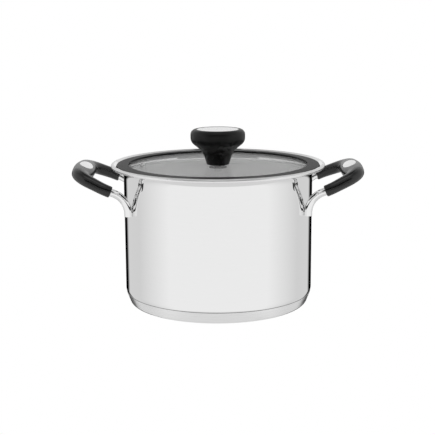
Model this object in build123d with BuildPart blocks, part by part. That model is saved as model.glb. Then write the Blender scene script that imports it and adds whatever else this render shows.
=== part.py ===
from build123d import *
from math import asin, cos, degrees, pi, radians, sin, sqrt, tan
import os

os.makedirs("parts", exist_ok=True)

# Stock pot with a glass lid. Millimetres, +Z up, the pot stands on z = 0,
# its axis is Z and its two handles lie along X.

# Capsule base
cap_thickness = 0.6
cap_height = 12.8
cap_step = 0.44               # how far its upper edge stands out from the shell
cap_taper = 4.85              # its side draws in by this much down to the foot
cap_corner_radius = 5.0
heat_disc_thickness = 5.2
heat_disc_margin = 0.8        # from the disc's rim to the shell's corner

# Pot shell, one drawn sheet
shell_radius = 100.8          # outside of the wall
shell_thickness = 0.8
shell_corner_radius = 12.0    # outside, between floor and wall
neck_height = 138.0           # where the wall starts to flare
flare_radius = 11.0           # outside of the flare
flare_turn = 62.0             # degrees
lip_length = 5.5              # straight lip between flare and bead
bead_radius = 2.1             # bead rolled tight on the lip's end

# Handle legs, bent from round bar
leg_radius = 4.05
weld_bite = 0.3               # how far the bar is coped to the wall
leg_tang = 16.0               # past the bow, inside the grip
foot_azimuth = 27.0           # degrees either side of the handle
foot_drop = 36.0              # from the neck to the leg's lower end
loop_rise = 23.4              # degrees the loop tilts up
apex_reach = 42.6             # from the wall to the loop's far side
apex_rise = 4.7               # from the neck up to it
elbow_radius = 24.0
bow_reach = 13.9              # from the wall to the widest place of the loop
bow_spread = 7.0              # which is this much wider than the feet
bow_radius = 22.0
loop_taper = 13.5             # from the widest place in to the far corner
loop_corner_radius = 22.0

# Grip moulded on the bar
grip_start = 18.8             # from the elbow, along the loop's slope
grip_end_width = 11.9
grip_end_thickness = 11.9
grip_apex_width = 23.0
grip_apex_thickness = 15.2
grip_end_squareness = 2.0     # 2 is an ellipse, more is squarer
grip_apex_squareness = 2.4
grip_end_round = 1.0
grip_section_count = 17
grip_section_points = 16

# Oval plate let into the grip
inlay_width = 14.4
inlay_length = 35.0
inlay_thickness = 1.7

# Lid glass
glass_margin = 1.0            # from its edge to the inside of the pot's wall
glass_thickness = 4.0
glass_crown_rise = 11.15      # from the neck to its top surface on the axis
glass_rise = 0.5              # crown above the edge
knob_hole_radius = 4.0
vent_hole_radius = 2.1
vent_distance = 14.1          # from the ring's inner edge

# Ring round the glass
lid_clearance = 0.3           # between the ring and the pot
ring_overlap = 3.5            # over the glass
ring_stand = 1.6              # its inner edge above the glass's crown
ring_fall = 0.7               # its top drops to the outer edge
ring_ledge_width = 1.5        # under the glass
ring_ledge_thickness = 1.0

# Vent eyelet and its washer, set square to the glass
vent_bore_radius = 1.2
vent_tube_clearance = 0.1
vent_flange_radius = 2.75
vent_flange_height = 1.4
vent_flange_bevel = 0.6
vent_clinch_radius = 2.9
vent_clinch_height = 0.5
vent_washer_radius = 3.4
vent_washer_thickness = 0.6

# Knob
knob_lift = 0.1               # between the knob's foot and the glass
knob_foot_radius = 11.95
knob_foot_round = 1.2
knob_stem_height = 13.75      # from the foot to the waist
knob_waist_radius = 15.9
knob_waist_round = 22.0
knob_underside_height = 10.6  # from the waist to the rim
knob_radius = 29.1
knob_rim_height = 13.4
knob_shoulder_round = 9.0     # between underside and rim
knob_top_round = 5.6
disc_margin = 1.2             # flat rim round the disc
disc_thickness = 1.0
disc_depth = 0.15             # below the knob's top

# Screw, insert, washer and seals on the knob's axis
seal_radius = 9.5
seal_thickness = 1.0
seal_collar_length = 2.5
seal_collar_clearance = 0.1
washer_radius = 7.5
washer_thickness = 1.0
screw_radius = 2.5
screw_clearance = 0.2
screw_reach = 11.0            # above the glass
screw_head_radius = 4.8
screw_head_height = 3.0
screw_head_round = 1.4
insert_radius = 4.5
insert_length = 12.0
insert_groove_depth = 0.7
insert_groove_height = 3.0
thread_clearance = 0.05

# Sizes and heights that follow from these
pot_axis = Axis.Z
shell_floor_height = cap_thickness + heat_disc_thickness
heat_disc_radius = shell_radius - shell_corner_radius - heat_disc_margin
corner_drop = max(0, shell_floor_height + shell_corner_radius - cap_height)
corner_reach = sqrt(shell_corner_radius**2 - corner_drop**2)
cap_top_radius = shell_radius - shell_corner_radius + corner_reach + cap_step
cap_foot_radius = cap_top_radius - cap_taper
lip_angle = 90 - flare_turn
flare_centre = (shell_radius + flare_radius, neck_height)

foot_height = neck_height - foot_drop
bow_x = shell_radius + bow_reach
apex_x = shell_radius + apex_reach
apex_height = neck_height + apex_rise

glass_radius = shell_radius - shell_thickness - glass_margin
glass_crown_height = neck_height + glass_crown_rise
glass_edge_under = glass_crown_height - glass_rise - glass_thickness
dome_radius = (glass_radius**2 + glass_rise**2) / (2 * glass_rise)
ring_inner_radius = glass_radius - ring_overlap
ring_top = glass_crown_height + ring_stand
ring_under = glass_edge_under - ring_ledge_thickness
vent_x = vent_distance - ring_inner_radius

knob_foot_height = glass_crown_height + knob_lift
knob_waist_height = knob_foot_height + knob_stem_height
knob_shoulder_height = knob_waist_height + knob_underside_height
knob_top_height = knob_shoulder_height + knob_rim_height
disc_radius = knob_radius - knob_top_round - disc_margin


def pot_surface(inset):
    """Line of the pot's surface, moved inward from its outside: floor, wall, flare and lip."""
    wall = shell_radius - inset
    floor = shell_floor_height + inset
    with BuildLine() as surface:
        FilletPolyline(
            (0, floor), (wall, floor), (wall, neck_height), radius=shell_corner_radius - inset
        )
        flare = CenterArc(flare_centre, flare_radius + inset, 180, -flare_turn)
        PolarLine(flare @ 1, lip_length, lip_angle)
    return surface.line


def pot_region(inset):
    """Everything inside that surface, up to the end of the lip."""
    surface = pot_surface(inset)
    with BuildSketch(Plane.XZ) as region:
        with BuildLine():
            add(surface)
            Polyline(surface @ 1, (0, (surface @ 1).Y), surface @ 0)
        make_face()
    return region.sketch_local


def cap_region(inset):
    """Everything inside the capsule's outer surface, moved inward."""
    slope = (cap_top_radius - cap_foot_radius) / cap_height
    shift = inset * sqrt(1 + slope**2)
    with BuildSketch(Plane.XZ) as region:
        with BuildLine():
            outline = FilletPolyline(
                (0, inset),
                (cap_foot_radius + slope * inset - shift, inset),
                (cap_top_radius - shift, cap_height),
                radius=cap_corner_radius - inset,
            )
            Polyline(outline @ 1, (0, cap_height), (0, inset))
        make_face()
    return region.sketch_local


def glass_fall(radius):
    """How far the glass has dropped from its crown at a radius."""
    return dome_radius - sqrt(dome_radius**2 - radius**2)


def glass_region():
    """Half section of the glass, still without its holes."""
    edge_angle = degrees(asin(glass_radius / dome_radius))
    crown = glass_crown_height
    centre = (0, crown - dome_radius)
    with BuildSketch(Plane.XZ) as region:
        with BuildLine():
            top = CenterArc(centre, dome_radius, 90 - edge_angle, edge_angle)
            edge = Line(top @ 0, top @ 0 - (0, glass_thickness))
            under = CenterArc(
                (0, crown - dome_radius - glass_thickness), dome_radius, 90 - edge_angle, edge_angle
            )
            Line(top @ 1, under @ 1)
        make_face()
    return region.sketch_local


# ---------------------------------------------------------------- pot

outside = pot_surface(0)
inside = pot_surface(shell_thickness)
bead_centre = (
    (inside @ 1).X + bead_radius * sin(radians(lip_angle)),
    (inside @ 1).Y - bead_radius * cos(radians(lip_angle)),
)
with BuildPart() as pot_shell:
    with BuildSketch(Plane.XZ):
        with BuildLine():
            add([outside, inside])
            Line(outside @ 0, inside @ 0)
            Line(outside @ 1, inside @ 1)
        make_face()
        with Locations(bead_centre):
            Circle(bead_radius)
    revolve(axis=pot_axis)
pot_shell.part.label = "pot_shell"

with BuildPart() as heat_disc:
    with BuildSketch(Plane.XY.offset(cap_thickness)):
        Circle(heat_disc_radius)
    extrude(amount=shell_floor_height - cap_thickness)
heat_disc.part.label = "heat_disc"

with BuildPart() as base_cap:
    with BuildSketch(Plane.XZ):
        add(cap_region(0))
        add(cap_region(cap_thickness), mode=Mode.SUBTRACT)
        add(pot_region(0), mode=Mode.SUBTRACT)
    revolve(axis=pot_axis)
base_cap.part.label = "base_cap"

# ------------------------------------------------------------ handles


def loop_height(x):
    """Height of the handle loop's plane at a distance from the pot's axis."""
    return apex_height - (apex_x - x) * tan(radians(loop_rise))


foot_distance = shell_radius + leg_radius - weld_bite
foot_x = foot_distance * cos(radians(foot_azimuth))
foot_y = foot_distance * sin(radians(foot_azimuth))
bow_y = foot_y + bow_spread
foot = Vector(foot_x, foot_y, foot_height)
elbow = Vector(foot_x, foot_y, loop_height(foot_x))
bow = Vector(bow_x, bow_y, loop_height(bow_x))
loop_corner = Vector(apex_x, bow_y - loop_taper, apex_height)
tang_end = bow + (loop_corner - bow).normalized() * leg_tang

with BuildLine() as leg_line:
    FilletPolyline(foot, elbow, bow, tang_end, radius=(elbow_radius, bow_radius))
with BuildPart() as handle_legs_right:
    with BuildSketch(Plane.XY.offset(foot_height)):
        with Locations((foot_x, foot_y)):
            Circle(leg_radius)
    sweep(path=leg_line.wire())
    with BuildSketch(Plane.XY.offset(foot_height)):
        Circle(shell_radius)
    extrude(amount=neck_height - foot_height, mode=Mode.SUBTRACT)
    mirror(about=Plane.XZ)
handle_legs_right.part.label = "handle_legs_right"

corners = [foot, elbow, bow, loop_corner]
bends = [elbow_radius, bow_radius, loop_corner_radius]
with BuildLine() as loop_line:
    FilletPolyline(
        *[Vector(corner.X, -corner.Y, corner.Z) for corner in corners],
        *reversed(corners),
        radius=bends + bends[::-1],
    )
loop_path = loop_line.wire()
loop_up = Vector(-sin(radians(loop_rise)), 0, cos(radians(loop_rise)))
grip_start_x = foot_x + grip_start * cos(radians(loop_rise))


def share_at(x):
    """Share of the loop's length, from its near foot, where it first reaches an x."""
    low = 0.0
    high = 0.5
    while high - low > 1e-6:
        middle = (low + high) / 2
        if (loop_path @ middle).X < x:
            low = middle
        else:
            high = middle
    return low


def blend(start, end, share):
    """Smooth change from start to end."""
    return start + (end - start) * share * share * (3 - 2 * share)


def grip_section(share_along):
    """Cross section of the grip, square to the loop."""
    apex_share = 1 - abs(2 * share_along - 1)
    width = blend(grip_end_width, grip_apex_width, apex_share)
    thickness = blend(grip_end_thickness, grip_apex_thickness, apex_share)
    power = 2 / blend(grip_end_squareness, grip_apex_squareness, apex_share)
    at = grip_start_share + share_along * (1 - 2 * grip_start_share)
    along = loop_path % at
    plane = Plane(origin=loop_path @ at, x_dir=along.cross(loop_up), z_dir=along)
    points = []
    for step in range(grip_section_points):
        angle = 2 * pi * step / grip_section_points
        across = abs(cos(angle)) ** power * (1 if cos(angle) > 0 else -1)
        up = abs(sin(angle)) ** power * (1 if sin(angle) > 0 else -1)
        points.append((across * width / 2, up * thickness / 2))
    with BuildSketch(plane) as section:
        with BuildLine():
            Spline(*points, periodic=True)
        make_face()
    return section.sketch


grip_start_share = share_at(grip_start_x)
with BuildPart() as grip_blank:
    for step in range(grip_section_count):
        add(grip_section(step / (grip_section_count - 1)))
    loft()

apex = Vector(apex_x, 0, apex_height)
inlay_floor = Plane(
    origin=apex + loop_up * (grip_apex_thickness / 2 - inlay_thickness),
    x_dir=(0, 1, 0),
    z_dir=loop_up,
)
with BuildPart() as grip_inlay_right:
    with BuildSketch(inlay_floor):
        Ellipse(inlay_length / 2, inlay_width / 2)
    extrude(amount=grip_apex_thickness / 2)
    add(grip_blank.part, mode=Mode.INTERSECT)
grip_inlay_right.part.label = "grip_inlay_right"

with BuildPart() as grip_right:
    add(grip_blank.part)
    fillet(grip_right.faces().filter_by(GeomType.PLANE).edges(), radius=grip_end_round)
    add(handle_legs_right.part, mode=Mode.SUBTRACT)
    add(grip_inlay_right.part, mode=Mode.SUBTRACT)
grip_right.part.label = "grip_right"

with BuildPart() as handle_legs_left:
    mirror(handle_legs_right.part, about=Plane.YZ)
handle_legs_left.part.label = "handle_legs_left"

with BuildPart() as grip_left:
    mirror(grip_right.part, about=Plane.YZ)
grip_left.part.label = "grip_left"

with BuildPart() as grip_inlay_left:
    mirror(grip_inlay_right.part, about=Plane.YZ)
grip_inlay_left.part.label = "grip_inlay_left"

# ---------------------------------------------------------------- lid

# The vent stands square to the glass, so its axis leans with the dome.
vent_lean = asin(vent_x / dome_radius)
vent_direction = Vector(sin(vent_lean), 0, cos(vent_lean))
vent_seat = Vector(vent_x, 0, glass_crown_height - glass_fall(vent_x))
vent_axis = Axis(vent_seat, vent_direction)
across = Vector(0, 1, 0)
vent_plane = Plane(origin=vent_seat, x_dir=across, z_dir=across.cross(vent_direction))
vent_tube_radius = vent_hole_radius - vent_tube_clearance
vent_washer_under = -glass_thickness - vent_washer_thickness

with BuildPart() as lid_glass:
    with BuildSketch(Plane.XZ):
        add(glass_region())
    revolve(axis=pot_axis)
    with BuildSketch(Plane.XY.offset(glass_crown_height)):
        Circle(knob_hole_radius)
    extrude(amount=-2 * glass_thickness, mode=Mode.SUBTRACT)
    with BuildSketch(Plane(origin=vent_seat, z_dir=vent_direction)):
        Circle(vent_hole_radius)
    extrude(amount=2 * glass_thickness, both=True, mode=Mode.SUBTRACT)
lid_glass.part.label = "lid_glass"

with BuildPart() as lid_ring:
    with BuildSketch(Plane.XZ):
        with BuildLine():
            Polyline(
                (ring_inner_radius, ring_top),
                (flare_centre[0], ring_top - ring_fall),
                (flare_centre[0], ring_under),
                (glass_radius - ring_ledge_width, ring_under),
                (glass_radius - ring_ledge_width, glass_edge_under + glass_thickness / 2),
                (ring_inner_radius, glass_edge_under + glass_thickness / 2),
                close=True,
            )
        make_face()
        add(pot_region(shell_thickness + lid_clearance), mode=Mode.INTERSECT)
        add(glass_region(), mode=Mode.SUBTRACT)
    revolve(axis=pot_axis)
lid_ring.part.label = "lid_ring"

with BuildPart() as vent_eyelet:
    with BuildSketch(vent_plane) as eyelet_section:
        with BuildLine():
            Polyline(
                (vent_bore_radius, vent_washer_under - vent_clinch_height),
                (vent_clinch_radius, vent_washer_under - vent_clinch_height),
                (vent_clinch_radius, vent_washer_under),
                (vent_tube_radius, vent_washer_under),
                (vent_tube_radius, 0),
                (vent_flange_radius, 0),
                (vent_flange_radius, vent_flange_height),
                (vent_bore_radius, vent_flange_height),
                close=True,
            )
        make_face()
        flange_top = eyelet_section.vertices().group_by(Axis.Y)[-1]
        chamfer(flange_top.sort_by(Axis.X)[-1], length=vent_flange_bevel)
    revolve(axis=vent_axis)
vent_eyelet.part.label = "vent_eyelet"

with BuildPart() as vent_washer:
    with BuildSketch(vent_plane):
        with Locations((vent_tube_radius, -glass_thickness)):
            Rectangle(
                vent_washer_radius - vent_tube_radius,
                vent_washer_thickness,
                align=(Align.MIN, Align.MAX),
            )
    revolve(axis=vent_axis)
vent_washer.part.label = "vent_washer"

# --------------------------------------------------------------- knob

seal_top = glass_crown_height + seal_thickness
glass_under = glass_crown_height - glass_thickness
seal_under_top = glass_under - glass_fall(seal_radius)
washer_top = seal_under_top - seal_thickness
head_top = washer_top - washer_thickness
screw_hole_radius = screw_radius + screw_clearance

with BuildPart() as knob_seal_upper:
    with BuildSketch(Plane.XY.offset(glass_crown_height)):
        Circle(seal_radius)
        Circle(screw_hole_radius, mode=Mode.SUBTRACT)
    extrude(amount=seal_thickness)
knob_seal_upper.part.label = "knob_seal_upper"

with BuildPart() as knob_seal_lower:
    with BuildSketch(Plane.XY.offset(seal_under_top)):
        Circle(seal_radius)
    extrude(amount=-seal_thickness)
    with BuildSketch(Plane.XY.offset(seal_under_top)):
        Circle(knob_hole_radius - seal_collar_clearance)
    extrude(amount=seal_collar_length)
    with BuildSketch(Plane.XY.offset(washer_top)):
        Circle(screw_hole_radius)
    extrude(amount=seal_thickness + seal_collar_length, mode=Mode.SUBTRACT)
knob_seal_lower.part.label = "knob_seal_lower"

with BuildPart() as knob_washer:
    with BuildSketch(Plane.XY.offset(head_top)):
        Circle(washer_radius)
        Circle(screw_hole_radius, mode=Mode.SUBTRACT)
    extrude(amount=washer_thickness)
knob_washer.part.label = "knob_washer"

with BuildPart() as knob_screw:
    with BuildSketch(Plane.XZ):
        with BuildLine():
            screw_tip = glass_crown_height + screw_reach
            head_outline = FilletPolyline(
                (0, head_top - screw_head_height),
                (screw_head_radius, head_top - screw_head_height),
                (screw_head_radius, head_top),
                radius=screw_head_round,
            )
            Polyline(
                head_outline @ 1,
                (screw_radius, head_top),
                (screw_radius, screw_tip),
                (0, screw_tip),
                head_outline @ 0,
            )
        make_face()
    revolve(axis=pot_axis)
knob_screw.part.label = "knob_screw"

with BuildPart() as knob_insert:
    with BuildSketch(Plane.XZ):
        with Locations((0, seal_top)):
            Rectangle(insert_radius, insert_length, align=(Align.MIN, Align.MIN))
            Rectangle(
                screw_radius + thread_clearance,
                insert_length,
                align=(Align.MIN, Align.MIN),
                mode=Mode.SUBTRACT,
            )
        with Locations((insert_radius, seal_top + insert_length / 2)):
            Rectangle(
                insert_groove_depth,
                insert_groove_height,
                align=(Align.MAX, Align.CENTER),
                mode=Mode.SUBTRACT,
            )
    revolve(axis=pot_axis)
knob_insert.part.label = "knob_insert"

with BuildPart() as knob_disc:
    with BuildSketch(Plane.XY.offset(knob_top_height - disc_depth)):
        Circle(disc_radius)
    extrude(amount=-disc_thickness)
knob_disc.part.label = "knob_disc"

with BuildPart() as knob_body:
    with BuildSketch(Plane.XZ):
        with BuildLine():
            outline = FilletPolyline(
                (0, knob_foot_height),
                (knob_foot_radius, knob_foot_height),
                (knob_waist_radius, knob_waist_height),
                (knob_radius, knob_shoulder_height),
                (knob_radius, knob_top_height),
                (0, knob_top_height),
                radius=(knob_foot_round, knob_waist_round, knob_shoulder_round, knob_top_round),
            )
            Line(outline @ 1, outline @ 0)
        make_face()
    revolve(axis=pot_axis)
    with BuildSketch(Plane.XY.offset(knob_top_height)):
        Circle(disc_radius)
    extrude(amount=-disc_depth - disc_thickness, mode=Mode.SUBTRACT)
    with BuildSketch(Plane.XY.offset(glass_crown_height)):
        Circle(seal_radius)
    extrude(amount=seal_thickness, mode=Mode.SUBTRACT)
    with BuildSketch(Plane.XY.offset(seal_top)):
        Circle(screw_hole_radius)
    extrude(amount=insert_length, mode=Mode.SUBTRACT)
    add(knob_insert.part, mode=Mode.SUBTRACT)
knob_body.part.label = "knob_body"

for piece in (
    pot_shell,
    heat_disc,
    base_cap,
    handle_legs_left,
    handle_legs_right,
    grip_left,
    grip_right,
    grip_inlay_left,
    grip_inlay_right,
    lid_glass,
    lid_ring,
    vent_eyelet,
    vent_washer,
    knob_body,
    knob_disc,
    knob_insert,
    knob_screw,
    knob_washer,
    knob_seal_upper,
    knob_seal_lower,
):
    export_step(piece.part, f"parts/{piece.part.label}.step")
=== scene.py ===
import math

import bpy
from mathutils import Matrix, Vector


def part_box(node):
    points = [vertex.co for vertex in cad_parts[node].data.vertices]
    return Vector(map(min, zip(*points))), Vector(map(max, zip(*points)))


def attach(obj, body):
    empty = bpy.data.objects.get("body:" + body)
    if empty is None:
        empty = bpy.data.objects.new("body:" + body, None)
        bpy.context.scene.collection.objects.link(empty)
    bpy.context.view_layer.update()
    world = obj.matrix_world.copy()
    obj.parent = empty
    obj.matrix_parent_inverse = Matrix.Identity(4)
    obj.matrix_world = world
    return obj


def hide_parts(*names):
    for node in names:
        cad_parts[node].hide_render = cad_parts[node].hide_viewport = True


# Stock pot with a glass lid: the pieces as they are seen, their finishes, the studio and the
# camera. Lengths are millimetres until a mesh is made, unless a comment says metres. Angles are
# degrees. The camera looks along +Y.

MM = 0.001

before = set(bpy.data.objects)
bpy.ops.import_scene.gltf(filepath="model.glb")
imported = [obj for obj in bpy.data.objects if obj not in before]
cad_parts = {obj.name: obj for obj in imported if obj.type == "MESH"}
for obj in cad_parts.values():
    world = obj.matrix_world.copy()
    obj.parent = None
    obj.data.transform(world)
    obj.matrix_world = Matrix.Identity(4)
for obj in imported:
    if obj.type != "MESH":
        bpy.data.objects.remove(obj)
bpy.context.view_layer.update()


def reach(node):
    """Lowest and highest corner of a CAD node, in millimetres."""
    low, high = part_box(node)
    return low / MM, high / MM


shell_low = reach("pot_shell")[0]
cap_high = reach("base_cap")[1]
legs_low = reach("handle_legs_right")[0]
glass_low, glass_high = reach("lid_glass")
ring_low, ring_high = reach("lid_ring")
knob_low, knob_high = reach("knob_body")
disc_low, disc_high = reach("knob_disc")
seal_low, seal_high = reach("knob_seal_upper")

# Pot shell
wall_radius = 100.8
sheet = 0.8
shell_corner = 12.0
neck_height = 138.0
flare_radius = 11.0
flare_turn = 62.0
lip_length = 5.5
bead_radius = 2.1
face_slack = 0.01               # how far down a face may lean and still count as upright

# Capsule base
cap_foot_radius = 95.3
cap_corner = 5.0
cap_sheet = 0.6
seam_rise = 0.5                 # of the painted seam band, above the capsule's edge
seam_inset = 0.08               # from the capsule's outside

# Handle loop: legs, grip and plate
leg_radius = 4.05
leg_sides = 40
weld_bite = 0.3
foot_azimuth = 27.0
loop_rise = 23.4
apex_x = 143.4
apex_height = 142.7
elbow_radius = 24.0
bow_x = 114.7
bow_spread = 7.0
bow_radius = 22.0
loop_taper = 13.5
loop_corner_radius = 22.0
leg_tang = 16.0
grip_start = 18.8
grip_end_size = (11.9, 11.9, 2.0)    # width, thickness and squareness; 2 is an ellipse
grip_apex_size = (23.0, 15.2, 2.4)
grip_end_round = 1.0
grip_end_step = 15
grip_stations = 96
grip_sides = 64
grip_sharp = 40.0
plate_width = 14.4
plate_length = 35.0
plate_sink = 0.5                # how far the grip is sunk under its plate

# Lid
glass_rise = 0.5
ring_clearance = 0.3
ring_inner_radius = 95.5
ring_fall = 0.7
ring_edge_round = 0.6
ring_ledge_radius = 97.5
slot_play = 0.05                # round the glass
slot_lean = 0.04                # the glass's rise from its edge to the ring's inner edge
vent_distance = 14.1            # from the ring's inner edge
vent_x = vent_distance - ring_inner_radius
vent_bore_radius = 1.2
vent_tube_radius = 2.0
vent_flange_radius = 2.75
vent_flange_height = 1.4
vent_round = 0.55
vent_washer_thickness = 0.6
vent_clinch_radius = 2.9
vent_clinch_height = 0.5
vent_clinch_round = 0.15
vent_steps = 64

# Knob
knob_foot_radius = 11.95
knob_foot_round = 1.2
knob_waist_radius = 15.9
knob_waist_rise = 13.75
knob_waist_round = 22.0
knob_shoulder_rise = 24.35
knob_shoulder_round = 9.0
knob_top_round = 5.6
rebate_round = 0.25
disc_round = 0.2
disc_play = 0.1                 # round the disc in its recess

axis_steps = 256                # points round the pot's axis
arc_step = 6.0                  # between the points of an arc
tiny = 1e-6
noise_low = 0.3                 # a finish spreads over this range of a noise's values
noise_high = 0.7


# ------------------------------------------------------------ outlines


def arc(centre, radius, start, turn):
    """Points of an arc from one angle through a turn, in degrees."""
    count = max(2, math.ceil(abs(turn) / arc_step))
    angles = [math.radians(start + turn * i / count) for i in range(count + 1)]
    return [
        Vector((centre[0] + radius * math.cos(a), centre[1] + radius * math.sin(a)))
        for a in angles
    ]


def rounded(corners, radii):
    """Points of a line through corners, with its inner corners rounded; in a plane or in space."""
    corners = [Vector(corner) for corner in corners]
    points = [corners[0]]
    for before, corner, after, radius in zip(corners, corners[1:], corners[2:], radii):
        if radius == 0:
            points.append(corner)
            continue
        back = (before - corner).normalized()
        ahead = (after - corner).normalized()
        half = back.angle(ahead) / 2
        centre = corner + (back + ahead).normalized() * radius / math.sin(half)
        first = corner + back * radius / math.tan(half) - centre
        last = corner + ahead * radius / math.tan(half) - centre
        turn = first.angle(last)
        count = max(2, math.ceil(math.degrees(turn) / arc_step))
        for i in range(count + 1):
            near = math.sin(turn * (1 - i / count))
            far = math.sin(turn * i / count)
            points.append(centre + (first * near + last * far) / math.sin(turn))
    points.append(corners[-1])
    return points


# -------------------------------------------------------------- meshes


def new_piece(name, points, faces, finish, body, sharp=30.0):
    """A smooth piece from points in millimetres, riding on a CAD body."""
    mesh = bpy.data.meshes.new(name)
    mesh.from_pydata([Vector(point) * MM for point in points], [], faces)
    mesh.validate()
    mesh.shade_smooth()
    mesh.set_sharp_from_angle(angle=math.radians(sharp))
    mesh.materials.append(finish)
    piece = bpy.data.objects.new(name, mesh)
    bpy.context.scene.collection.objects.link(piece)
    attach(piece, body)
    return piece


def turned(name, outline, finish, body, place=Matrix.Identity(4), steps=axis_steps):
    """A piece turned about an axis. Its outline of (radius, height) runs up on the outside; it
    starts and ends on the axis, or else closes on itself."""
    points = []
    rings = []
    for radius, height in outline:
        if radius < tiny:
            rings.append([len(points)] * steps)
            points.append(place @ Vector((0, 0, height)))
            continue
        rings.append([len(points) + i for i in range(steps)])
        for i in range(steps):
            angle = 2 * math.pi * i / steps
            points.append(
                place @ Vector((radius * math.cos(angle), radius * math.sin(angle), height))
            )
    pairs = list(zip(rings, rings[1:]))
    if outline[0][0] > tiny:
        pairs.append((rings[-1], rings[0]))
    faces = []
    for low, high in pairs:
        for i in range(steps):
            j = (i + 1) % steps
            face = [low[i], low[j], high[j], high[i]]
            face = [corner for k, corner in enumerate(face) if corner != face[k - 1]]
            faces.append(face)
    return new_piece(name, points, faces, finish, body)


def skinned(name, sections, finish, body, sharp=30.0):
    """A piece through closed sections with as many points each, and a face at either end."""
    size = len(sections[0])
    points = [point for section in sections for point in section]
    faces = []
    for start in range(0, len(points) - size, size):
        for i in range(size):
            j = (i + 1) % size
            faces.append([start + i, start + j, start + size + j, start + size + i])
    faces.append(list(range(size - 1, -1, -1)))
    faces.append(list(range(len(points) - size, len(points))))
    return new_piece(name, points, faces, finish, body, sharp)


# ----------------------------------------------------------- materials


class Finish:
    """A material being made: its nodes, with short ways to add and join them."""

    def __init__(self, name, **values):
        self.material = bpy.data.materials.new(name)
        self.material.use_nodes = True
        self.nodes = self.material.node_tree.nodes
        self.surface = self.nodes["Principled BSDF"]
        for socket, value in values.items():
            self.surface.inputs[socket.replace("_", " ")].default_value = value
        self.place = self.add("ShaderNodeTexCoord").outputs["Object"]

    def add(self, kind, **settings):
        node = self.nodes.new(kind)
        for key, value in settings.items():
            setattr(node, key, value)
        return node

    def join(self, source, target):
        self.material.node_tree.links.new(source, target)

    def noise(self, scale, stretch=(1, 1, 1), detail=4.0):
        """Noise over the object; its scale is per metre, times a stretch along each axis."""
        mapping = self.add("ShaderNodeMapping")
        mapping.inputs["Scale"].default_value = [scale * share for share in stretch]
        self.join(self.place, mapping.inputs["Vector"])
        noise = self.add("ShaderNodeTexNoise")
        noise.inputs["Scale"].default_value = 1.0
        noise.inputs["Detail"].default_value = detail
        self.join(mapping.outputs["Vector"], noise.inputs["Vector"])
        return noise.outputs["Fac"]

    def spread(self, source, low, high, socket):
        """Sends a texture to a socket of the surface, between two values."""
        change = self.add("ShaderNodeMapRange")
        change.inputs["From Min"].default_value = noise_low
        change.inputs["From Max"].default_value = noise_high
        change.inputs["To Min"].default_value = low
        change.inputs["To Max"].default_value = high
        self.join(source, change.inputs["Value"])
        self.join(change.outputs["Result"], self.surface.inputs[socket])

    def tint(self, source, low, high):
        """Colours the surface by a texture, between two greys."""
        ramp = self.add("ShaderNodeValToRGB")
        stops = ((noise_low, low), (noise_high, high))
        for element, (at, grey) in zip(ramp.color_ramp.elements, stops):
            element.color = (grey, grey, grey, 1)
            element.position = at
        self.join(source, ramp.inputs["Fac"])
        self.join(ramp.outputs["Color"], self.surface.inputs["Base Color"])

    def bump(self, source, height):
        """Relief from a texture; its height is in millimetres."""
        bump = self.add("ShaderNodeBump")
        bump.inputs["Strength"].default_value = 1.0
        bump.inputs["Distance"].default_value = height * MM
        self.join(source, bump.inputs["Height"])
        self.join(bump.outputs["Normal"], self.surface.inputs["Normal"])


def polished_steel():
    """Mirror finish with the faint long streaks that polishing round the pot leaves."""
    finish = Finish("polished_steel", Metallic=1.0)
    streaks = finish.noise(40, stretch=(1, 1, 22))
    finish.tint(streaks, 0.872, 0.88)
    finish.spread(streaks, 0.02, 0.03, "Roughness")
    return finish.material


def soft_steel(name, rough_low, rough_high):
    """Polish a little softened, where the rim was rolled and round the foot."""
    finish = Finish(name, Metallic=1.0)
    streaks = finish.noise(40, stretch=(1, 1, 22))
    finish.tint(streaks, 0.88, 0.92)
    finish.spread(streaks, rough_low, rough_high, "Roughness")
    return finish.material


def pot_inside_steel():
    """Satin finish inside the pot, with fine rings round it."""
    finish = Finish("pot_inside_steel", Metallic=0.2)
    streaks = finish.noise(14, stretch=(1, 1, 50))
    finish.tint(streaks, 0.94, 1.0)
    finish.spread(streaks, 0.22, 0.5, "Roughness")
    finish.bump(streaks, 0.05)
    return finish.material


def satin_steel():
    """Fine brushing along X."""
    finish = Finish("satin_steel", Metallic=1.0)
    lines = finish.noise(200, stretch=(1, 30, 30), detail=3.0)
    finish.tint(lines, 0.83, 0.9)
    finish.spread(lines, 0.24, 0.34, "Roughness")
    finish.bump(lines, 0.006)
    return finish.material


def turned_satin_steel():
    """Brushing round the axis, as on a turned disc."""
    finish = Finish("turned_satin_steel", Metallic=1.0)
    rings = finish.add("ShaderNodeTexWave", wave_type="RINGS", rings_direction="Z")
    rings.inputs["Scale"].default_value = 600.0
    rings.inputs["Distortion"].default_value = 3.0
    rings.inputs["Detail"].default_value = 3.0
    finish.join(finish.place, rings.inputs["Vector"])
    finish.tint(rings.outputs["Fac"], 0.94, 0.98)
    finish.spread(rings.outputs["Fac"], 0.24, 0.3, "Roughness")
    finish.bump(rings.outputs["Fac"], 0.003)
    return finish.material


def bright_plate():
    """Light brushing along X, for the plates let into the grips."""
    finish = Finish("bright_plate", Metallic=1.0)
    lines = finish.noise(260, stretch=(1, 30, 30), detail=3.0)
    finish.tint(lines, 0.95, 0.99)
    finish.spread(lines, 0.24, 0.3, "Roughness")
    finish.bump(lines, 0.004)
    return finish.material


def blasted_steel():
    """Even, bright, grainless finish of the small pressed vent."""
    finish = Finish("blasted_steel", Metallic=1.0)
    grain = finish.noise(3000)
    finish.tint(grain, 0.95, 0.99)
    finish.spread(grain, 0.32, 0.4, "Roughness")
    return finish.material


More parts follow.
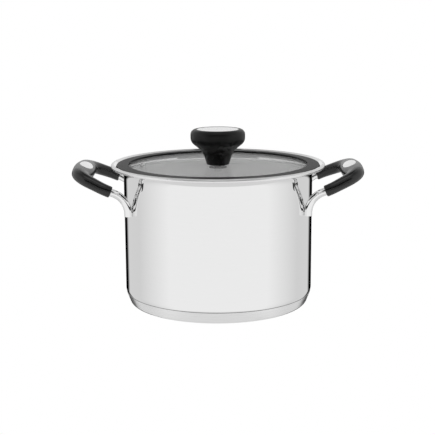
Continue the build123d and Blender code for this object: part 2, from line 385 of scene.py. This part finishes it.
def bore_painted_shade():
    """Near-black metal painted inside the vent: painted shade for the dark hole of its bore."""
    finish = Finish("bore_painted_shade", Metallic=0.5)
    grain = finish.noise(3000)
    finish.tint(grain, 0.01, 0.02)
    finish.spread(grain, 0.5, 0.65, "Roughness")
    return finish.material


def seam_painted_shade():
    """Dark grey metal painted along the join of the capsule and the pot: painted shade standing in
    for the groove there.
    """
    finish = Finish("seam_painted_shade", Metallic=0.8)
    grain = finish.noise(2500)
    finish.tint(grain, 0.26, 0.36)
    finish.spread(grain, 0.45, 0.6, "Roughness")
    return finish.material


def aluminium():
    """Cast disc, matt and slightly mottled."""
    finish = Finish("aluminium", Metallic=1.0)
    grain = finish.noise(900)
    finish.tint(grain, 0.72, 0.8)
    finish.spread(grain, 0.4, 0.55, "Roughness")
    finish.bump(grain, 0.01)
    return finish.material


def brass():
    """Turned brass."""
    finish = Finish("brass", Metallic=1.0, Base_Color=(0.72, 0.5, 0.2, 1))
    lines = finish.noise(400, stretch=(1, 1, 20))
    finish.spread(lines, 0.25, 0.4, "Roughness")
    finish.bump(lines, 0.004)
    return finish.material


def black_plastic(name="black_plastic", shine=0.3, rough_low=0.34, rough_high=0.44):
    """Black phenolic moulding with a fine satin grain."""
    finish = Finish(name, Specular_IOR_Level=shine)
    grain = finish.noise(2600, detail=3.0)
    finish.tint(finish.noise(120), 0.002, 0.004)
    finish.spread(grain, rough_low, rough_high, "Roughness")
    finish.bump(grain, 0.012)
    return finish.material


def black_silicone():
    """Black silicone, a little duller than the plastic."""
    finish = Finish("black_silicone", Specular_IOR_Level=0.3)
    grain = finish.noise(1800, detail=3.0)
    finish.tint(grain, 0.004, 0.008)
    finish.spread(grain, 0.42, 0.55, "Roughness")
    finish.bump(grain, 0.01)
    return finish.material


def lid_glass():
    """Clear tempered glass with a breath of unevenness. Its index is low, so that the inside of
    the pot shows through at a low angle; the sheen stands for the dull part of its glare."""
    finish = Finish(
        "lid_glass",
        Base_Color=(0.985, 0.99, 0.985, 1),
        Transmission_Weight=1.0,
        IOR=1.02,
        Sheen_Weight=0.5,
        Sheen_Roughness=0.5,
    )
    waves = finish.noise(30, detail=1.0)
    finish.spread(waves, 0.0, 0.02, "Roughness")
    finish.bump(waves, 0.02)
    return finish.material


finishes = {
    "polished_steel": polished_steel(),
    "satin_steel": satin_steel(),
    "aluminium": aluminium(),
    "black_plastic": black_plastic(),
    "lid_glass": lid_glass(),
    "black_silicone": black_silicone(),
    "brass": brass(),
}
grip_finish = black_plastic("grip_plastic", shine=0.55, rough_low=0.2, rough_high=0.3)
disc_finish = turned_satin_steel()
inside_finish = pot_inside_steel()
rim_finish = soft_steel("rim_steel", 0.3, 0.36)
foot_finish = soft_steel("foot_steel", 0.2, 0.26)
plate_finish = bright_plate()
vent_finish = blasted_steel()
bore_shade_finish = bore_painted_shade()
# the capsule's join gets painted shade: a dark band standing in for the groove's shade
seam_shade_finish = seam_painted_shade()

for node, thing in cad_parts.items():
    for place in thing.material_slots:
        place.material = finishes[place.material.name.split(".")[0]]
        if node.startswith("grip_inlay"):
            place.material = plate_finish

# ----------------------------------------------------------------- pot


def pot_line(inset):
    """Outline of the pot's surface from the middle of its floor to the end of its lip."""
    floor = shell_low.z + inset
    wall = wall_radius - inset
    flare_centre = (wall_radius + flare_radius, neck_height)
    line = rounded([(0, floor), (wall, floor), (wall, neck_height)], [shell_corner - inset])
    line += arc(flare_centre, flare_radius + inset, 180, -flare_turn)[1:]
    line.append(line[-1] + lip_along * lip_length)
    return line


lip_angle = 90 - flare_turn
lip_along = Vector((math.cos(math.radians(lip_angle)), math.sin(math.radians(lip_angle))))
lip_up = Vector((-lip_along.y, lip_along.x))


def make_pot_shell():
    """Wall, floor and rim with its rolled bead; satin inside and softer on the bead."""
    outside = pot_line(0)
    inside = pot_line(sheet)
    bead_centre = inside[-1] - lip_up * bead_radius
    drop = bead_radius - sheet
    angle = 180 - math.degrees(math.asin(drop / bead_radius))
    bead = arc(bead_centre, bead_radius, lip_angle + angle, 360 + 90 - angle)
    outline = outside[:-1] + bead + inside[::-1][1:]
    shell = turned("pot_shell_piece", outline, finishes["polished_steel"], "pot")
    shell.data.materials.append(inside_finish)
    shell.data.materials.append(rim_finish)
    inside_slot = 1
    rim_slot = 2
    floor_middle = shell_low.z + sheet / 2
    for face in shell.data.polygons:
        middle = face.center / MM
        radius = math.hypot(middle.x, middle.y)
        in_wall = radius < wall_radius - sheet / 2
        facing_down = face.normal.z < -face_slack
        if in_wall and floor_middle < middle.z < neck_height and not facing_down:
            face.material_index = inside_slot
        if (Vector((radius, middle.z)) - bead_centre).length < bead_radius + sheet:
            face.material_index = rim_slot
    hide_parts("pot_shell")


def make_base_cap():
    """Capsule under the pot, with its side drawn in down to the foot."""
    slope = (cap_high.x - cap_foot_radius) / cap_high.z
    outside = rounded([(0, 0), (cap_foot_radius, 0), (cap_high.x, cap_high.z)], [cap_corner])
    shift = cap_sheet * math.hypot(1, slope)
    inside = rounded(
        [
            (0, cap_sheet),
            (cap_foot_radius + slope * cap_sheet - shift, cap_sheet),
            (cap_high.x - shift, cap_high.z),
        ],
        [cap_corner - cap_sheet],
    )
    cap = turned("base_cap_piece", outside + inside[::-1], foot_finish, "pot")
    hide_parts("base_cap")


def make_base_seam():
    """The band that fills the step between the capsule's edge and the pot, coloured with painted
    shade.
    """

    def shell_reach(height):
        drop = shell_low.z + shell_corner - height
        return wall_radius - shell_corner + math.sqrt(shell_corner**2 - drop**2)

    top = cap_high.z + seam_rise
    outline = [
        (shell_reach(cap_high.z) - cap_sheet, cap_high.z),
        (cap_high.x - seam_inset, cap_high.z),
        (shell_reach(top), top),
    ]
    seam = turned("base_seam", outline, seam_shade_finish, "pot")


make_pot_shell()
make_base_cap()
make_base_seam()

# ------------------------------------------------------------- handles


def loop_height(x):
    """Height of the tilted plane that a handle loop lies in."""
    return apex_height - (apex_x - x) * math.tan(math.radians(loop_rise))


foot_distance = wall_radius + leg_radius - weld_bite
foot_x = foot_distance * math.cos(math.radians(foot_azimuth))
foot_y = foot_distance * math.sin(math.radians(foot_azimuth))
foot = Vector((foot_x, foot_y, legs_low.z))
elbow = Vector((foot_x, foot_y, loop_height(foot_x)))
bow = Vector((bow_x, foot_y + bow_spread, loop_height(bow_x)))
loop_corner = Vector((apex_x, bow.y - loop_taper, apex_height))
loop_up = Vector((-math.sin(math.radians(loop_rise)), 0, math.cos(math.radians(loop_rise))))
mirror_y = Matrix.Scale(-1, 4, (0, 1, 0))
side_names = {-1: "left", 1: "right"}
end_names = {-1: "front", 1: "back"}


def along_line(line):
    """Direction of travel at each point of a line."""
    ends = [line[0] + (line[0] - line[1])] + line + [line[-1] + (line[-1] - line[-2])]
    return [(after - before).normalized() for before, after in zip(ends, ends[2:])]


def make_leg(side, end):
    """One bent leg of a handle; side is -1 on the left, end is -1 at the front."""
    tang_end = bow + (loop_corner - bow).normalized() * leg_tang
    line = rounded([foot, elbow, bow, tang_end], [elbow_radius, bow_radius])
    flip = Matrix.Scale(side, 4, (1, 0, 0)) @ Matrix.Scale(end, 4, (0, 1, 0))
    angles = [2 * math.pi * i / leg_sides for i in range(leg_sides)]
    sections = []
    across = Vector((0, 1, 0))
    for point, along in zip(line, along_line(line)):
        across = (across - along * across.dot(along)).normalized()
        other = along.cross(across)
        spokes = [across * math.cos(a) + other * math.sin(a) for a in angles]
        sections.append([flip @ (point + spoke * leg_radius) for spoke in spokes])
    if side * end < 0:
        sections = [section[::-1] for section in sections]
    name = "handle_leg_" + side_names[side] + "_" + end_names[end]
    leg = skinned(name, sections, finishes["polished_steel"], "pot")
    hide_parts("handle_legs_" + side_names[side])


def blend(start, end, share):
    """Smooth change from start to end."""
    return start + (end - start) * share * share * (3 - 2 * share)


def grip_line():
    """Middle line of a grip, evenly divided, from its front end to its back end."""
    corners = [foot, elbow, bow, loop_corner]
    radii = [elbow_radius, bow_radius, loop_corner_radius]
    front = [mirror_y @ corner for corner in corners]
    line = rounded(front + corners[::-1], radii + radii[::-1])
    start_x = foot_x + grip_start * math.cos(math.radians(loop_rise))
    kept = [p for p in line if p.x > start_x]
    before = next(p for p, q in zip(line, line[1:]) if q.x > start_x)
    first = before.lerp(kept[0], (start_x - before.x) / (kept[0].x - before.x))
    line = [first] + kept + [mirror_y @ first]
    reached = [0.0]
    for p, q in zip(line, line[1:]):
        reached.append(reached[-1] + (q - p).length)
    divided = []
    for i in range(grip_stations + 1):
        want = reached[-1] * i / grip_stations
        k = next(k for k in range(1, len(line)) if reached[k] >= want - tiny)
        share = (want - reached[k - 1]) / (reached[k] - reached[k - 1])
        divided.append(line[k - 1].lerp(line[k], share))
    return divided


def grip_sections():
    """Sections of a grip; the first and last few close in to round its ends."""
    line = grip_line()
    alongs = along_line(line)
    alongs[0] = (line[1] - line[0]).normalized()
    alongs[-1] = (line[-1] - line[-2]).normalized()
    stations = []
    for i, (point, along) in enumerate(zip(line, alongs)):
        stations.append((i / (len(line) - 1), point, along, 0.0))
    for end, sign in ((0, 1), (-1, -1)):
        share, point, along, _ = stations[end]
        rim = []
        for angle in range(grip_end_step, 90 + grip_end_step, grip_end_step):
            turn = math.radians(angle)
            ahead = grip_end_round * (1 - math.sin(turn)) * sign
            shrink = grip_end_round * (1 - math.cos(turn))
            rim.append((share, point + along * ahead, along, shrink))
        if sign > 0:
            stations = rim[::-1] + stations[1:]
        else:
            stations = stations[:-1] + rim
    sections = []
    for share, point, along, shrink in stations:
        nearness = 1 - abs(2 * share - 1)
        width = blend(grip_end_size[0], grip_apex_size[0], nearness) / 2 - shrink
        thickness = blend(grip_end_size[1], grip_apex_size[1], nearness) / 2 - shrink
        power = 2 / blend(grip_end_size[2], grip_apex_size[2], nearness)
        across = along.cross(loop_up).normalized()
        up = across.cross(along)
        section = []
        for i in range(grip_sides):
            angle = 2 * math.pi * i / grip_sides
            side = math.copysign(abs(math.cos(angle)) ** power, math.cos(angle))
            rise = math.copysign(abs(math.sin(angle)) ** power, math.sin(angle))
            section.append(point + across * side * width + up * rise * thickness)
        sections.append(section)
    return sections


def make_grip(side):
    """The moulded grip, sunk a little where its plate lies; side is -1 on the left."""
    name = side_names[side]
    sections = grip_sections()
    apex = Vector((apex_x, 0, apex_height))
    outward = Vector((math.cos(math.radians(loop_rise)), 0, math.sin(math.radians(loop_rise))))
    for section in sections:
        for i, point in enumerate(section):
            offset = point - apex
            if offset.dot(loop_up) < 0:
                continue
            reach_out = math.hypot(
                offset.y / (plate_length / 2), offset.dot(outward) / (plate_width / 2)
            )
            if reach_out < 1.0:
                section[i] = point - loop_up * plate_sink
    flip = Matrix.Scale(side, 4, (1, 0, 0))
    sections = [[flip @ point for point in section] for section in sections]
    if side > 0:
        sections = [section[::-1] for section in sections]
    grip = skinned("grip_" + name + "_piece", sections, grip_finish, "pot", grip_sharp)
    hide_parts("grip_" + name)


for side in (-1, 1):
    make_grip(side)
    for end in (-1, 1):
        make_leg(side, end)

# ----------------------------------------------------------------- lid


def make_lid_ring():
    """Silicone ring with softened edges and a slot that holds the glass."""
    flare_centre = Vector((wall_radius + flare_radius, neck_height))
    radius = flare_radius + sheet + ring_clearance
    seat_angle = math.degrees(math.asin((ring_low.z - neck_height) / radius))
    seat = arc(flare_centre, radius, 180 - seat_angle, seat_angle - flare_turn)
    slope = ring_fall / (flare_centre.x - ring_inner_radius)
    rise = ring_high.z - seat[-1].y - slope * (seat[-1].x - ring_inner_radius)
    outer_edge = seat[-1] + lip_along * rise / (lip_along.y + slope * lip_along.x)
    slot_top = glass_high.z - glass_rise + slot_play
    top_line = rounded(
        [
            seat[-1],
            outer_edge,
            (ring_inner_radius, ring_high.z),
            (ring_inner_radius, slot_top + slot_lean),
        ],
        [ring_edge_round / 2, ring_edge_round],
    )
    glass_edge = glass_high.x + slot_play
    slot_floor = glass_low.z - slot_play
    outline = seat[:-1] + top_line + [
        Vector((glass_edge, slot_top)),
        Vector((glass_edge, slot_floor)),
        Vector((ring_ledge_radius, slot_floor)),
        Vector((ring_ledge_radius, ring_low.z)),
    ]
    ring = turned("lid_ring_piece", outline, finishes["black_silicone"], "lid")
    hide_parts("lid_ring")


def make_vent_eyelet():
    """Eyelet with a flange on the glass and a clinched one under its washer, leaning with the
    glass."""
    dome = (glass_high.x**2 + glass_rise**2) / (2 * glass_rise)
    lean = math.asin(vent_x / dome)
    seat = Vector((vent_x, 0, seal_low.z - dome + math.sqrt(dome**2 - vent_x**2)))
    place = Matrix.Translation(seat) @ Matrix.Rotation(lean, 4, "Y")
    glass_thickness = glass_high.z - glass_rise - glass_low.z
    under = -glass_thickness - vent_washer_thickness - vent_clinch_height
    outline = rounded(
        [
            (vent_bore_radius, under),
            (vent_clinch_radius, under),
            (vent_clinch_radius, under + vent_clinch_height),
            (vent_tube_radius, under + vent_clinch_height),
            (vent_tube_radius, 0),
            (vent_flange_radius, 0),
            (vent_flange_radius, vent_flange_height),
            (vent_bore_radius, vent_flange_height),
            (vent_bore_radius, under + vent_clinch_height),
        ],
        [vent_clinch_round, vent_clinch_round, 0, 0, 0, vent_round, vent_round],
    )
    eyelet = turned("vent_eyelet_piece", outline, vent_finish, "lid", place, vent_steps)
    # the bore's faces take painted shade, for the dark hole
    eyelet.data.materials.append(bore_shade_finish)
    bore_slot = 1
    for face in eyelet.data.polygons:
        middle = place.inverted() @ (face.center / MM)
        if math.hypot(middle.x, middle.y) < vent_bore_radius + vent_round:
            face.material_index = bore_slot
    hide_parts("vent_eyelet")


def make_knob():
    """Moulded knob with the rebate for its disc, and the disc."""
    foot_height = knob_low.z
    rebate = disc_high.x + disc_play
    outline = rounded(
        [
            (0, seal_high.z),
            (seal_high.x, seal_high.z),
            (seal_high.x, foot_height),
            (knob_foot_radius, foot_height),
            (knob_waist_radius, foot_height + knob_waist_rise),
            (knob_high.x, foot_height + knob_shoulder_rise),
            (knob_high.x, knob_high.z),
            (rebate, knob_high.z),
            (rebate, disc_low.z),
            (0, disc_low.z),
        ],
        [0, 0, knob_foot_round, knob_waist_round, knob_shoulder_round, knob_top_round]
        + [rebate_round, 0],
    )
    knob = turned("knob_body_piece", outline, finishes["black_plastic"], "lid")
    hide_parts("knob_body")
    plate = rounded(
        [
            (0, disc_low.z),
            (disc_high.x, disc_low.z),
            (disc_high.x, disc_high.z),
            (0, disc_high.z),
        ],
        [0, disc_round],
    )
    disc = turned("knob_disc_piece", plate, disc_finish, "lid")
    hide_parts("knob_disc")


make_lid_ring()
make_vent_eyelet()
make_knob()

# -------------------------------------------------------------- studio

front_light = 0.94
side_light = 0.70
back_light = 0.75
floor_light = 0.72
ceiling_light = 0.34
overhead_light = 1.2
backdrop_light = 1.0
backdrop_reach = 4.0            # metres
dome_rows = 16
dome_columns = 32
floor_edge = -50                # elevation where the tent's floor begins
floor_blur = 2

# Light round the tent: (azimuth from the front, light)
around_stops = [
    (0, front_light),
    (62, front_light),
    (112, side_light),
    (167, side_light),
    (169, back_light),
    (180, back_light),
]

# Share of that light up the tent: (elevation, share)
height_stops = [
    (-90, 1),
    (30, 1),
    (40, 0.88),
    (50, 0.73),
    (60, 0.52),
    (70, ceiling_light),
    (74, overhead_light),
    (90, overhead_light),
]

# Cards in the tent, on both sides alike: (azimuths, elevations, light, blur of the edge nearest
# the front). All are dark but the last, a bright strip that the disc and the plates reflect.
cards = [
    ((147, 169), (-40, -1), 0.0, 5),
    ((169, 176), (-10.9, -1), 0.0, 0),
    ((0, 55), (12, 44), 0.04, 0),
    ((0, 55), (-7, 0), 0.04, 0),
    ((168, 181), (35, 75), 0.12, 0),
    ((170, 181), (3, 14), 0.9, 0),
]


def make_world():
    """Soft white tent: brightest in front and straight overhead, dimmer at the sides and under,
    with cards in front and behind. Directions are azimuth from the front and elevation."""
    world = bpy.data.worlds.new("tent")
    world.use_nodes = True
    nodes = world.node_tree.nodes
    link = world.node_tree.links.new

    def work(operation, *sources):
        node = nodes.new("ShaderNodeMath")
        node.operation = operation
        for socket, source in zip(node.inputs, sources):
            if isinstance(source, (int, float)):
                socket.default_value = source
            else:
                link(source, socket)
        return node.outputs["Value"]

    def ramp(source, stops):
        """Value that changes smoothly between (direction, value) stops."""
        node = nodes.new("ShaderNodeValToRGB")
        start = stops[0][0]
        span = stops[-1][0] - start
        while len(node.color_ramp.elements) < len(stops):
            node.color_ramp.elements.new(0.5)
        for element, (angle, value) in zip(node.color_ramp.elements, stops):
            element.position = (angle - start) / span
            element.color = (value, value, value, 1)
        link(work("DIVIDE", work("SUBTRACT", source, start), span), node.inputs["Fac"])
        return node.outputs["Color"]

    def past(source, at, blur):
        """1 where a direction is past an angle and 0 before it; blur softens the change."""
        if not blur:
            return work("GREATER_THAN", source, at)
        node = nodes.new("ShaderNodeMapRange")
        node.interpolation_type = "SMOOTHSTEP"
        link(source, node.inputs["Value"])
        node.inputs["From Min"].default_value = at - blur
        node.inputs["From Max"].default_value = at + blur
        return node.outputs["Result"]

    def patch(azimuths, elevations, blur):
        """1 inside a rectangle of directions and 0 outside it."""
        sides = [
            past(azimuth, azimuths[0], blur),
            work("LESS_THAN", azimuth, azimuths[1]),
            past(elevation, elevations[0], 0),
            work("LESS_THAN", elevation, elevations[1]),
        ]
        return work("MULTIPLY", work("MULTIPLY", *sides[:2]), work("MULTIPLY", *sides[2:]))

    def dim(light, where, level):
        """The light, brought to another level inside a patch."""
        outside = work("MULTIPLY", light, work("SUBTRACT", 1, where))
        return work("ADD", outside, work("MULTIPLY", where, level))

    split = nodes.new("ShaderNodeSeparateXYZ")
    link(nodes.new("ShaderNodeTexCoord").outputs["Generated"], split.inputs["Vector"])
    x, y, z = split.outputs
    away = work("MULTIPLY", y, -1)
    azimuth = work("DEGREES", work("ARCTAN2", work("ABSOLUTE", x), away))
    elevation = work("DEGREES", work("ARCSINE", z))
    light = work("MULTIPLY", ramp(azimuth, around_stops), ramp(elevation, height_stops))
    floor_stops = [(-90, 1), (floor_edge - floor_blur, 1), (floor_edge + floor_blur, 0), (0, 0)]
    light = dim(light, ramp(elevation, floor_stops), floor_light)
    for azimuths, elevations, level, blur in cards:
        light = dim(light, patch(azimuths, elevations, blur), level)
    background = nodes["Background"]
    link(light, background.inputs["Color"])
    background.inputs["Strength"].default_value = 1.0
    bpy.context.scene.world = world


def make_backdrop():
    """Plain white floor and a white dome round it, seen by the camera only."""
    white = bpy.data.materials.new("white_paper")
    white.use_nodes = True
    nodes = white.node_tree.nodes
    nodes.remove(nodes["Principled BSDF"])
    glow = nodes.new("ShaderNodeEmission")
    glow.inputs["Color"].default_value = (1, 1, 1, 1)
    glow.inputs["Strength"].default_value = backdrop_light
    surface = nodes["Material Output"].inputs["Surface"]
    white.node_tree.links.new(glow.outputs["Emission"], surface)
    corners = [(-1, -1), (1, -1), (1, 1), (-1, 1)]
    floor_mesh = bpy.data.meshes.new("floor")
    floor_mesh.from_pydata(
        [(x * backdrop_reach, y * backdrop_reach, 0) for x, y in corners], [], [(0, 1, 2, 3)]
    )
    points = []
    faces = []
    for row in range(dome_rows + 1):
        rise = math.pi * row / dome_rows - math.pi / 2
        for column in range(dome_columns):
            turn = 2 * math.pi * column / dome_columns
            across = math.cos(rise)
            point = Vector((across * math.cos(turn), across * math.sin(turn), math.sin(rise)))
            points.append(point * backdrop_reach)
    for start in range(0, dome_rows * dome_columns, dome_columns):
        for near in range(dome_columns):
            beside = (near + 1) % dome_columns
            above = start + dome_columns
            faces.append((start + near, start + beside, above + beside, above + near))
    dome_mesh = bpy.data.meshes.new("backdrop")
    dome_mesh.from_pydata(points, [], faces)
    for mesh in (floor_mesh, dome_mesh):
        mesh.materials.append(white)
        thing = bpy.data.objects.new(mesh.name, mesh)
        bpy.context.scene.collection.objects.link(thing)
        thing.visible_diffuse = False
        thing.visible_glossy = False
        thing.visible_transmission = False
        thing.visible_shadow = False


camera_distance = 1114.0
camera_height = 316.5
camera_pitch = 11.45
camera_roll = -0.31
camera_aside = -0.04
focal_length = 86.9
sensor_width = 36.0
nearest_seen = 0.05             # metres


def make_camera():
    """Long lens, a little above the rim, looking slightly down."""
    data = bpy.data.cameras.new("camera")
    data.sensor_width = sensor_width
    data.lens = focal_length
    data.clip_start = nearest_seen
    camera = bpy.data.objects.new("camera", data)
    bpy.context.scene.collection.objects.link(camera)
    turn = Matrix.Rotation(math.radians(-camera_aside), 4, "Z")
    lean = Matrix.Rotation(math.radians(90 - camera_pitch), 4, "X")
    roll = Matrix.Rotation(math.radians(camera_roll), 4, "Z")
    spot = Matrix.Translation(Vector((0, -camera_distance, camera_height)) * MM)
    camera.matrix_world = spot @ turn @ lean @ roll
    bpy.context.scene.camera = camera


bpy.context.scene.cycles.diffuse_bounces = 10
bpy.context.scene.cycles.glossy_bounces = 8
bpy.context.scene.cycles.max_bounces = 24
make_world()
make_backdrop()
make_camera()
bpy.context.scene.view_settings.view_transform = "Standard"
